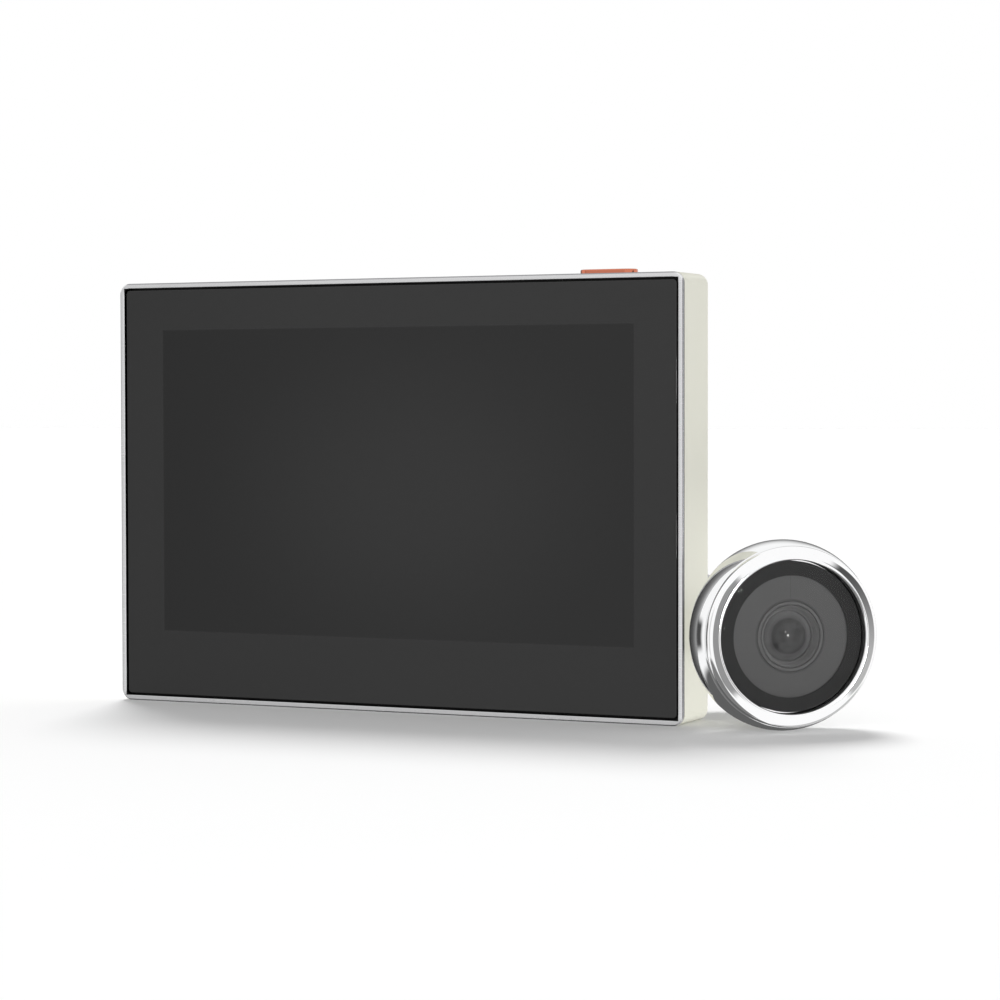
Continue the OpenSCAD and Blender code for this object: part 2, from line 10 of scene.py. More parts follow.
import bmesh
import bpy
from mathutils import Matrix, Vector


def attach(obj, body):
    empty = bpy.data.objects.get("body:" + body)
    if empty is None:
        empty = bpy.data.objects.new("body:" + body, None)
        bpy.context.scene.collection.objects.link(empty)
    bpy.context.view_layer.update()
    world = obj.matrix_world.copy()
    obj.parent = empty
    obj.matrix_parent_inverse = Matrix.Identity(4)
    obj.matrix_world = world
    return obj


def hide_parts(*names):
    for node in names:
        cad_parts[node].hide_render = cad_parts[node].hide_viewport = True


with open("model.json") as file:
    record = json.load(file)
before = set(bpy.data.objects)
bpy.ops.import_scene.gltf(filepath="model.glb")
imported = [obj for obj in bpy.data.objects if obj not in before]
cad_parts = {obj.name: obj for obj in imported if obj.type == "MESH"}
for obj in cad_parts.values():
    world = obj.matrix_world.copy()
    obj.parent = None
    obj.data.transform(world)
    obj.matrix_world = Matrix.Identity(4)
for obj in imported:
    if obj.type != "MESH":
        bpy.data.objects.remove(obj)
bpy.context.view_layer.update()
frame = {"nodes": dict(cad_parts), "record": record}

LOG = logging.getLogger("door_camera")
MM = 0.001
# Sizes in millimetres that pieces and finishes share
MONITOR_SIZE = (113.5, 78.0)
BEZEL = 0.95
HEAD_AT = (74.03696, -4.25, 16.2)
HEAD_TURN = math.radians(41.6)
# The angle of a sharp edge, and the distance within which points are one
SHARP = 40.0
WELD = 1e-7
DEGREES = 180.0 / math.pi
Colour = tuple[float, float, float]
Point = tuple[float, float]
Place = tuple[float, float, float]
Mesh = tuple[list[Vector], list[tuple[int, ...]]]


def grey(level: float) -> Colour:
    """A neutral colour of one level."""
    return (level, level, level)


class Body(Enum):
    """The bodies of the part that pieces ride on."""

    MONITOR = "monitor"
    BUTTON = "button"
    PLATE = "door_plate"
    CAMERA = "camera"
    WASHER = "washer"
    NUT = "nut"


class Sock:
    """A shader socket that takes part in Python expressions."""

    def __init__(self, graph: "Graph", socket: bpy.types.NodeSocket) -> None:
        """Keeps the socket and the graph it belongs to."""
        self.graph = graph
        self.socket = socket

    def _math(self, operation: str, first: "Sock | float", second: "Sock | float" = 0.0) -> "Sock":
        """The result of a Math node on two values or links."""
        made = self.graph.node("ShaderNodeMath", {"operation": operation}, {0: first, 1: second})
        return Sock(self.graph, made.outputs[0])

    def __add__(self, other: "Sock | float") -> "Sock":
        """This value plus another."""
        return self._math("ADD", self, other)

    __radd__ = __add__

    def __mul__(self, other: "Sock | float") -> "Sock":
        """This value times another."""
        return self._math("MULTIPLY", self, other)

    __rmul__ = __mul__

    def __sub__(self, other: "Sock | float") -> "Sock":
        """This value less another."""
        return self._math("SUBTRACT", self, other)

    def __rsub__(self, other: "Sock | float") -> "Sock":
        """A number less this value."""
        return self._math("SUBTRACT", other, self)

    def __truediv__(self, other: "Sock | float") -> "Sock":
        """This value divided by another."""
        return self._math("DIVIDE", self, other)

    def __rtruediv__(self, other: "Sock | float") -> "Sock":
        """A number divided by this value."""
        return self._math("DIVIDE", other, self)

    def __abs__(self) -> "Sock":
        """This value without its sign."""
        return self._math("ABSOLUTE", self)

    def power(self, other: float) -> "Sock":
        """This value to a power."""
        return self._math("POWER", self, other)

    def least(self, other: "Sock | float") -> "Sock":
        """The smaller of this value and another."""
        return self._math("MINIMUM", self, other)

    def most(self, other: "Sock | float") -> "Sock":
        """The larger of this value and another."""
        return self._math("MAXIMUM", self, other)

    def wave(self) -> "Sock":
        """The sine of this value."""
        return self._math("SINE", self)

    def bearing(self, other: "Sock") -> "Sock":
        """The angle whose tangent is this value over another."""
        return self._math("ARCTAN2", self, other)

    def rise(self) -> "Sock":
        """The angle whose sine is this value."""
        return self._math("ARCSINE", self)

    def step(self, low: float, high: float) -> "Sock":
        """A smooth step.

        Args:
            low: where the step starts, at 0.
            high: where it ends, at 1; below low it runs down instead.

        Returns:
            The step, from 0 to 1.
        """
        start, end, ends = (low, high, (0.0, 1.0)) if low < high else (high, low, (1.0, 0.0))
        made = self.graph.node(
            "ShaderNodeMapRange",
            {"interpolation_type": "SMOOTHSTEP"},
            {"Value": self, "From Min": start, "From Max": end, "To Min": ends[0], "To Max": ends[1]},
        )
        return Sock(self.graph, made.outputs[0])


class Graph:
    """The nodes of one material or of the world."""

    def __init__(self, tree: bpy.types.NodeTree) -> None:
        """Starts from an empty tree."""
        self.tree = tree
        tree.nodes.clear()

    def node(
        self,
        kind: str,
        settings: dict[str, object] | None = None,
        inputs: dict[str | int, object] | None = None,
    ) -> bpy.types.Node:
        """Adds any node.

        Args:
            kind: the node's type.
            settings: its own settings.
            inputs: values or links by the socket's place, identifier or name.

        Returns:
            The node.
        """
        made = self.tree.nodes.new(kind)
        for key, value in (settings or {}).items():
            setattr(made, key, value)
        for key, value in (inputs or {}).items():
            socket = self._socket(made.inputs, key)
            if isinstance(value, Sock):
                self.tree.links.new(value.socket, socket)
            elif isinstance(value, tuple) and len(value) == 3 and socket.type == "RGBA":
                socket.default_value = (*value, 1.0)
            else:
                socket.default_value = value
        return made

    @staticmethod
    def _socket(sockets: bpy.types.bpy_prop_collection, key: str | int) -> bpy.types.NodeSocket:
        """The socket of that place, identifier or name."""
        for socket in sockets:
            if socket.identifier == key:
                return socket
        return sockets[key]

    def take(
        self,
        kind: str,
        output: str,
        settings: dict[str, object] | None = None,
        inputs: dict[str | int, object] | None = None,
    ) -> Sock:
        """Adds a node, as node does, and gives its output of that identifier or name."""
        made = self.node(kind, settings, inputs)
        return Sock(self, self._socket(made.outputs, output))

    def place(self, stretch: Place = (1.0, 1.0, 1.0)) -> Sock:
        """The point on the part in millimetres, stretched along its axes."""
        at = self.take("ShaderNodeTexCoord", "Object")
        scale = tuple(value / MM for value in stretch)
        return self.take("ShaderNodeVectorMath", "Vector", {"operation": "MULTIPLY"}, {0: at, 1: scale})

    def axis(self, at: Sock, index: int) -> Sock:
        """One coordinate of a point."""
        return self.take("ShaderNodeSeparateXYZ", "XYZ"[index], None, {"Vector": at})

    def cloud(self, at: Sock, scale: float, detail: float = 3.0, rough: float = 0.55) -> Sock:
        """Soft noise from 0 to 1.

        Args:
            at: the point in millimetres.
            scale: waves to the millimetre.
            detail: how many finer layers it has.
            rough: how strong these are.

        Returns:
            The noise.
        """
        inputs = {"Vector": at, "Scale": scale, "Detail": detail, "Roughness": rough}
        return self.take("ShaderNodeTexNoise", "Fac", None, inputs)

    def mix(self, factor: Sock | float, first: Sock | Colour, second: Sock | Colour) -> Sock:
        """Goes from the first colour to the second by a factor."""
        inputs = {"Factor_Float": factor, "A_Color": first, "B_Color": second}
        return self.take("ShaderNodeMix", "Result_Color", {"data_type": "RGBA"}, inputs)

    def shade(self, colour: Sock | Colour, level: Sock) -> Sock:
        """A colour made lighter or darker by a level about 1."""
        tint = self.take("ShaderNodeCombineColor", "Color", None, {0: level, 1: level, 2: level})
        inputs = {"Factor_Float": 1.0, "A_Color": colour, "B_Color": tint}
        settings = {"data_type": "RGBA", "blend_type": "MULTIPLY"}
        return self.take("ShaderNodeMix", "Result_Color", settings, inputs)

    def bump(self, height: Sock, depth: float) -> Sock:
        """The normal of a relief from 0 to 1 with a depth in millimetres."""
        inputs = {"Height": height, "Distance": depth * MM, "Strength": 1.0}
        return self.take("ShaderNodeBump", "Normal", None, inputs)


@dataclass(frozen=True)
class Finish:
    """A moulded finish, and what every other finish shares."""

    slot: str
    colour: Colour
    roughness: float = 0.45
    metallic: float = 0.0
    specular: float = 0.5
    wander: float = 0.06
    grain: float = 2.4
    relief: float = 0.004
    coat: float = 0.0
    alpha: float = 1.0

    def tone(self, graph: Graph, at: Sock) -> Sock:
        """The base colour: the finish's own, wandering a little over the piece."""
        level = 1.0 + (graph.cloud(at, 0.09) - 0.5) * (2.0 * self.wander)
        fine = 1.0 + (graph.cloud(at, self.grain, 2.0) - 0.5) * self.wander
        return graph.shade(self.colour, level * fine)

    def gloss(self, graph: Graph, at: Sock) -> Sock:
        """The roughness: a little uneven, as from handling."""
        return self.roughness * (0.85 + graph.cloud(at, 0.16, 4.0) * 0.3)

    def height(self, graph: Graph, at: Sock) -> Sock:
        """The relief: a fine moulded grain."""
        return graph.cloud(at, self.grain, 2.0)

    def material(self) -> bpy.types.Material:
        """Makes the finish's material, named for its slot."""
        made = bpy.data.materials.new(self.slot)
        made.use_nodes = True
        graph = Graph(made.node_tree)
        at = graph.place()
        inputs = {
            "Base Color": self.tone(graph, at),
            "Roughness": self.gloss(graph, at),
            "Normal": graph.bump(self.height(graph, at), self.relief),
            "Metallic": self.metallic,
            "Specular IOR Level": self.specular,
            "Coat Weight": self.coat,
            "Coat Roughness": 0.04,
            "Alpha": self.alpha,
        }
        surface = graph.take("ShaderNodeBsdfPrincipled", "BSDF", None, inputs)
        graph.node("ShaderNodeOutputMaterial", None, {"Surface": surface})
        return made


@dataclass(frozen=True)
class Metal(Finish):
    """Bare or plated metal with a fine grain along one way."""

    metallic: float = 1.0
    roughness: float = 0.3
    along: Place = (0.04, 1.0, 1.0)

    def _lines(self, graph: Graph, density: float) -> Sock:
        """Fine lines drawn along the grain."""
        return graph.cloud(graph.place(self.along), density, 3.0, 0.6)

    def tone(self, graph: Graph, at: Sock) -> Sock:
        """The metal's colour, with the grain and soft stains."""
        level = 1.0 + (self._lines(graph, 4.0) - 0.5) * self.wander
        stain = 1.0 - graph.cloud(at, 0.12, 5.0).step(0.55, 0.8) * self.wander
        return graph.shade(self.colour, level * stain)

    def gloss(self, graph: Graph, at: Sock) -> Sock:
        """The roughness, streaked along the grain."""
        return self.roughness * (0.8 + self._lines(graph, 6.0) * 0.4)

    def height(self, graph: Graph, at: Sock) -> Sock:
        """The grain's own relief."""
        return self._lines(graph, 9.0)


@dataclass(frozen=True)
class Mirror(Finish):
    """Polished plating, with a faint haze and hairlines from wiping."""

    metallic: float = 1.0
    roughness: float = 0.05
    wander: float = 0.02
    relief: float = 0.0006

    def gloss(self, graph: Graph, at: Sock) -> Sock:
        """The roughness: clear, with a faint haze in patches."""
        haze = graph.cloud(at, 0.22, 5.0, 0.6).step(0.5, 0.85)
        hairs = graph.cloud(graph.place((1.0, 1.0, 0.06)), 5.0, 2.0).step(0.62, 0.75)
        return self.roughness * (0.8 + haze * 0.8 + hairs * 0.5)

    def height(self, graph: Graph, at: Sock) -> Sock:
        """The slight unevenness under plating."""
        return graph.cloud(at, 0.35, 2.0)


@dataclass(frozen=True)
class CoverGlass(Finish):
    """Black cover glass over a display field that is a little darker than its border, with a painted sheen
    in the field's middle.
    """

    roughness: float = 0.03
    relief: float = 0.0
    field_colour: Colour = grey(0.0012)
    field_x: float = 47.5
    field_z: Point = (13.3, 69.2)
    field_soft: float = 0.15
    # Painted sheen: a paler patch in the display field's middle, standing in for a reflection.
    painted_sheen_colour: Colour = grey(0.013)
    painted_sheen_at: Point = (4.5, 39.5)
    painted_sheen_reach: Point = (48.0, 34.0)

    def tone(self, graph: Graph, at: Sock) -> Sock:
        """The printed border, and the display field behind the glass, with a painted sheen that makes its
        middle paler.
        """
        sideways, upward = graph.axis(at, 0), graph.axis(at, 2)
        low, high, soft = *self.field_z, self.field_soft
        inside = abs(sideways).step(self.field_x + soft, self.field_x - soft)
        inside = inside * upward.step(low - soft, low + soft) * upward.step(high + soft, high - soft)
        haze = 0.9 + graph.cloud(at, 0.03, 2.0) * 0.2
        border = graph.shade(self.colour, haze)
        # Painted sheen: the display field is made paler towards its middle.
        over = (sideways - self.painted_sheen_at[0]) / self.painted_sheen_reach[0]
        up = (upward - self.painted_sheen_at[1]) / self.painted_sheen_reach[1]
        painted_sheen = (over * over + up * up).power(0.5).step(1.0, 0.1)
        field = graph.mix(painted_sheen, self.field_colour, self.painted_sheen_colour)
        return graph.mix(inside, border, graph.shade(field, haze))

    def gloss(self, graph: Graph, at: Sock) -> Sock:
        """The roughness: polished, with faint finger smears."""
        smear = graph.cloud(graph.place((1.0, 1.0, 0.4)), 0.11, 5.0, 0.65).step(0.55, 0.85)
        return self.roughness + smear * 0.05


@dataclass(frozen=True)
class Board(Finish):
    """A circuit board: solder mask with traces and pads under it."""

    trace: Colour = (0.06, 0.26, 0.12)
    pad: Colour = (0.55, 0.42, 0.2)

    def _pattern(self, graph: Graph) -> tuple[Sock, Sock]:
        """The traces and the pads, each from 0 to 1."""
        at = graph.place()
        inputs = {"Vector": at, "Scale": 0.55, "Randomness": 0.35}
        settings = {"distance": "MANHATTAN", "feature": "F1"}
        cell = graph.take("ShaderNodeTexVoronoi", "Distance", settings, inputs)
        lanes = (cell * 26.0).wave().step(0.2, 0.5)
        pads = cell.step(0.16, 0.12)
        return lanes, pads

    def tone(self, graph: Graph, at: Sock) -> Sock:
        """The mask's colour over bare board, traces and pads."""
        lanes, pads = self._pattern(graph)
        return graph.mix(pads, graph.mix(lanes, self.colour, self.trace), self.pad)

    def height(self, graph: Graph, at: Sock) -> Sock:
        """Traces stand up a little."""
        lanes, pads = self._pattern(graph)
        return lanes.most(pads)


@dataclass(frozen=True)
class Foil(Finish):
    """A crimped foil pouch with soft wrinkles."""

    metallic: float = 1.0
    roughness: float = 0.34
    relief: float = 0.12

    def height(self, graph: Graph, at: Sock) -> Sock:
        """Wrinkles, broad and fine."""
        return graph.cloud(graph.place((1.0, 1.0, 0.5)), 0.22, 4.0, 0.5)


@dataclass(frozen=True)
class Trim(Metal):
    """Satin silver trim, with painted shade on the outer chamfer, beside the glass and towards the bottom.
    """

    # Painted shade: the outer chamfer darker, in place of its darker reflection.
    painted_edge_shade: Colour = (0.3, 0.3, 0.31)
    # Painted shade: the trim's wall and ledge inside the gap beside the glass.
    painted_gap_shade: Colour = grey(0.012)
    edge: float = 0.2
    # Painted shade: how much darker the face is along the bottom.
    painted_low_shade: float = 0.25

    def tone(self, graph: Graph, at: Sock) -> Sock:
        """The face's colour, with painted shade towards the bottom, on the chamfer at its edge and beside
        the glass inside.
        """
        side = MONITOR_SIZE[0] / 2.0 - abs(graph.axis(at, 0))
        upward = graph.axis(at, 2)
        inset = side.least(upward.least(MONITOR_SIZE[1] - upward))
        # Painted shade: darker towards the bottom edge.
        face = graph.shade(Metal.tone(self, graph, at), 1.0 - upward.step(1.6, 0.8) * self.painted_low_shade)
        # Painted shade inside the gap beside the glass.
        face = graph.mix(inset.step(BEZEL - 0.08, BEZEL - 0.02), face, self.painted_gap_shade)
        # Painted shade on the outer chamfer.
        return graph.mix(inset.step(self.edge * 0.6, self.edge * 1.4), self.painted_edge_shade, face)


@dataclass(frozen=True)
class OnAxis(Finish):
    """A finish that goes by its place about the camera unit's axis."""

    seam_at: float = 6.1

    def across(self, graph: Graph, at: Sock) -> Sock:
        """How far a point lies to the side of the axis."""
        over = (graph.axis(at, 0) - HEAD_AT[0]) * math.cos(HEAD_TURN)
        return over + (graph.axis(at, 1) - HEAD_AT[1]) * math.sin(HEAD_TURN)

    def radius(self, graph: Graph, at: Sock) -> Sock:
        """How far a point lies from the axis."""
        across = self.across(graph, at)
        upward = graph.axis(at, 2) - HEAD_AT[2]
        return (across * across + upward * upward).power(0.5)

    def level(self, graph: Graph, at: Sock) -> Sock:
        """How light the colour is at a point, about 1."""
        return 1.0 - self.seam(graph, at) * 0.3

    def tone(self, graph: Graph, at: Sock) -> Sock:
        """The finish's colour, lighter or darker by its place."""
        return graph.shade(Finish.tone(self, graph, at), self.level(graph, at))

    def seam(self, graph: Graph, at: Sock) -> Sock:
        """The dark line between the lens hood and the disc, from 0 to 1."""
        return abs(self.radius(graph, at) - self.seam_at).step(0.32, 0.1)


@dataclass(frozen=True)
class Smoked(OnAxis):
    """Smoked plastic with a fine moulding line above the lens."""

    low: float = 22.3

    def level(self, graph: Graph, at: Sock) -> Sock:
        """Darker in the line and round the lens hood."""
        line = abs(self.across(graph, at)).step(0.1, 0.03)
        line = line * graph.axis(at, 2).step(self.low, self.low + 0.2)
        return 1.0 - line * 0.24 - self.seam(graph, at) * 0.28


@dataclass(frozen=True)
class LensMount(OnAxis):
    """Grey plastic round the lens, with painted light deep in the mount that offsets the shade there."""

    def level(self, graph: Graph, at: Sock) -> Sock:
        """Painted light in the mount, offsetting its shade, and darker at the hood's edge."""
        # Painted light: paler deep in the mount, where shade falls.
        return OnAxis.level(self, graph, at) + self.radius(graph, at).step(5.2, 4.6) * 0.44


@dataclass(frozen=True)
class LensGlass(OnAxis):
    """Lens glass that is darker over the pupil, with a soft dark rim round it and painted light at its
    edge.
    """

    pupil: float = 3.1

    def level(self, graph: Graph, at: Sock) -> Sock:
        """Darker over the pupil and its rim, with painted light at the glass's edge that offsets its
        shade.
        """
        radius = self.radius(graph, at)
        pupil = radius.step(self.pupil + 0.25, self.pupil - 0.25)
        inner = radius.step(self.pupil - 1.3, self.pupil - 0.1)
        rim = inner * radius.step(self.pupil + 0.2, self.pupil - 0.1)
        ring = abs(radius - self.pupil - 0.75).step(0.14, 0.05)
        # Painted light: paler at the glass's edge, offsetting the shade where it meets the mount.
        edge = radius.step(self.pupil + 0.2, self.pupil + 0.8)
        return 1.0 - pupil * 0.44 - rim * 0.2 - ring * 0.1 + edge * 0.54


FINISHES: tuple[Finish, ...] = (
    CoverGlass("black_glass", grey(0.0165)),
    Trim("silver_trim", (0.82, 0.82, 0.83), roughness=0.26, relief=0.001, wander=0.05),
    Finish("ivory_shell", (0.73, 0.725, 0.625), roughness=0.34, wander=0.012, grain=3.2, relief=0.003),
    Finish("dark_rubber", grey(0.03), roughness=0.75, specular=0.3, grain=5.0, relief=0.012),
    CoverGlass("display", (0.012, 0.012, 0.013), roughness=0.2),
    Finish("clear_plastic", (0.86, 0.88, 0.9), roughness=0.1, grain=1.0),
    Metal("sheet_steel", (0.62, 0.63, 0.65), roughness=0.32),
    Finish("dark_plastic", (0.05, 0.05, 0.055), roughness=0.5, grain=4.0, relief=0.008),
    Board("circuit_board", (0.03, 0.16, 0.07), roughness=0.35, relief=0.02),
    Finish("chip_plastic", (0.02, 0.02, 0.022), roughness=0.55, grain=6.0, relief=0.006),
    Foil("battery_foil", (0.6, 0.61, 0.63)),
    Finish("connector_plastic", (0.78, 0.75, 0.66), roughness=0.5, grain=3.0),
    Mirror("copper_button", (0.625, 0.207, 0.125), roughness=0.1, wander=0.04),
    Metal("screw_steel", (0.55, 0.56, 0.58), roughness=0.28),
    Metal("plate_alloy", (0.62, 0.63, 0.64), metallic=0.6, roughness=0.38, wander=0.1, relief=0.002),
    Mirror("chrome_shell", (0.93, 0.935, 0.94)),
    Mirror("chrome_ring", (0.97, 0.97, 0.975), roughness=0.04),
    Finish("clear_glass", grey(0.0), roughness=0.02, relief=0.0, alpha=0.07),
    Finish("black_print", grey(0.03), roughness=0.45, specular=0.2, grain=4.0, relief=0.001),
    Smoked("smoked_plastic", grey(0.145), roughness=0.5, specular=0.3, wander=0.02, relief=0.001),
    LensMount("grey_plastic", grey(0.18), roughness=0.5, specular=0.3, wander=0.03, relief=0.001),
    LensGlass("lens_glass", (0.185, 0.185, 0.186), roughness=0.03, wander=0.02, relief=0.0, alpha=0.88),
    Finish("filter_glass", (0.3, 0.45, 0.5), roughness=0.08, relief=0.0, alpha=0.6),
    Finish("led_resin", (0.8, 0.78, 0.68), roughness=0.1, coat=0.5),
    Mirror("chrome_barrel", (0.8, 0.81, 0.82), roughness=0.09),
    Metal("nut_alloy", (0.7, 0.71, 0.73), roughness=0.24, wander=0.06),
)


def eased(points: Sequence[Point], radii: Sequence[float], steps: int = 4) -> list[Point]:
    """Rounds the corners of a closed outline.

    Args:
        points: the corners.
        radii: the radius at each, or 0 for a sharp one.
        steps: segments to a rounded corner.

    Returns:
        The outline with its corners rounded.
    """
    made: list[Point] = []
    count = len(points)
    for index, radius in enumerate(radii):
        corner = Vector(points[index])
        if radius <= 0.0:
            made.append(tuple(corner))
            continue
        before = (Vector(points[index - 1]) - corner).normalized()
        after = (Vector(points[(index + 1) % count]) - corner).normalized()
        half = before.angle(after) / 2.0
        middle = corner + (before + after).normalized() * (radius / math.sin(half))
        start = corner + before * (radius / math.tan(half)) - middle
        end = corner + after * (radius / math.tan(half)) - middle
        swing = start.angle_signed(end)
        for step in range(steps + 1):
            made.append(tuple(middle + Matrix.Rotation(-swing * step / steps, 2) @ start))
    return made


def rounded(width: float, height: float, radius: float, steps: int = 8) -> list[Point]:
    """A rectangle about the origin, anticlockwise, with round corners of that many segments."""
    x, y = width / 2.0, height / 2.0
    return eased([(-x, -y), (x, -y), (x, y), (-x, y)], [radius] * 4, steps)


def loft(loops: Sequence[Sequence[Vector]], ring: bool = False) -> Mesh:
    """Joins outlines of one count into a skin.

    Args:
        loops: the outlines in order.
        ring: whether the last joins the first; the ends are closed where it doesn't.

    Returns:
        The vertices and faces.
    """
    size = len(loops[0])
    verts = [point for loop in loops for point in loop]
    faces: list[tuple[int, ...]] = []
    for row in range(len(loops) if ring else len(loops) - 1):
        low, high = row * size, (row + 1) % len(loops) * size
        for index in range(size):
            after = (index + 1) % size
            faces.append((low + index, low + after, high + after, high + index))
    if not ring:
        faces.append(tuple(range(size)))
        faces.append(tuple((len(loops) - 1) * size + index for index in range(size)))
    return verts, faces


def joined(*meshes: Mesh) -> Mesh:
    """Several meshes as one."""
    verts: list[Vector] = []
    faces: list[tuple[int, ...]] = []
    for points, polygons in meshes:
        faces.extend(tuple(index + len(verts) for index in polygon) for polygon in polygons)
        verts.extend(points)
    return verts, faces


def welded(work: bmesh.types.BMesh, data: bpy.types.Mesh) -> bpy.types.Mesh:
    """Welds a mesh in work, turns its faces outward and writes it to its data."""
    bmesh.ops.remove_doubles(work, verts=work.verts, dist=WELD)
    bmesh.ops.recalc_face_normals(work, faces=work.faces)
    work.to_mesh(data)
    work.free()
    return data


@dataclass
class Shop:
    """Makes the pieces and gives them to the part's bodies."""

    materials: dict[str, bpy.types.Material]

    def piece(
        self, name: str, mesh: Mesh, body: Body, slot: str, *nodes: str, sharp: float = SHARP
    ) -> bpy.types.Object:
        """Makes one piece from a mesh in millimetres.

        Args:
            name: the piece's name.
            mesh: its vertices and faces.
            body: the body that it rides on.
            slot: the record's slot that it takes its finish from.
            nodes: the solids that it stands for.
            sharp: the angle in degrees from which an edge is sharp.

        Returns:
            The new object.
        """
        work = bmesh.new()
        points = [work.verts.new(point * MM) for point in mesh[0]]
        for polygon in mesh[1]:
            work.faces.new([points[index] for index in polygon])
        data = welded(work, bpy.data.meshes.new(name))
        return self.finish(bpy.data.objects.new(name, data), body, slot, *nodes, sharp=sharp)

    def plate(
        self, name: str, outlines: Sequence[Sequence[Point]], depth: Point, ease: float
    ) -> bpy.types.Mesh:
        """A flat upright plate with holes and eased edges.

        Args:
            name: a name for the mesh.
            outlines: its edge, anticlockwise, and then its holes, clockwise, as (x, z).
            depth: its front and back along Y.
            ease: the radius of its edges.

        Returns:
            The mesh, in metres.
        """
        curve = bpy.data.curves.new(name, "CURVE")
        curve.dimensions = "2D"
        curve.fill_mode = "BOTH"
        curve.extrude = (depth[1] - depth[0]) / 2.0 - ease
        curve.bevel_depth = ease
        curve.bevel_resolution = 2
        curve.offset = -ease
        for outline in outlines:
            spline = curve.splines.new("POLY")
            spline.points.add(len(outline) - 1)
            spline.use_cyclic_u = True
            for point, (x, z) in zip(spline.points, outline):
                point.co = (x, z, 0.0, 1.0)
        holder = bpy.data.objects.new(name, curve)
        bpy.context.scene.collection.objects.link(holder)
        bpy.context.view_layer.update()
        data = bpy.data.meshes.new_from_object(holder.evaluated_get(bpy.context.evaluated_depsgraph_get()))
        bpy.data.objects.remove(holder)
        bpy.data.curves.remove(curve)
        middle = Matrix.Translation((0.0, (depth[0] + depth[1]) / 2.0, 0.0))
        data.transform(Matrix.Scale(MM, 4) @ middle @ Matrix.Rotation(math.pi / 2.0, 4, "X"))
        work = bmesh.new()
        work.from_mesh(data)
        return welded(work, data)

    def finish(
        self, made: bpy.types.Object, body: Body, slot: str, *nodes: str, sharp: float = SHARP
    ) -> bpy.types.Object:
        """Shades, dresses and places one object.

        Args:
            made: the new object, in the part's frame.
            body: as for piece, with slot, nodes and sharp.

        Returns:
            The same object.
        """
        for polygon in made.data.polygons:
            polygon.use_smooth = True
        made.data.set_sharp_from_angle(angle=math.radians(sharp))
        made.data.materials.clear()
        made.data.materials.append(self.materials[slot])
        bpy.context.scene.collection.objects.link(made)
        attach(made, body.value)
        if nodes:
            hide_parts(*nodes)
        LOG.info("%s rides on %s, %d faces", made.name, body.value, len(made.data.polygons))
        return made


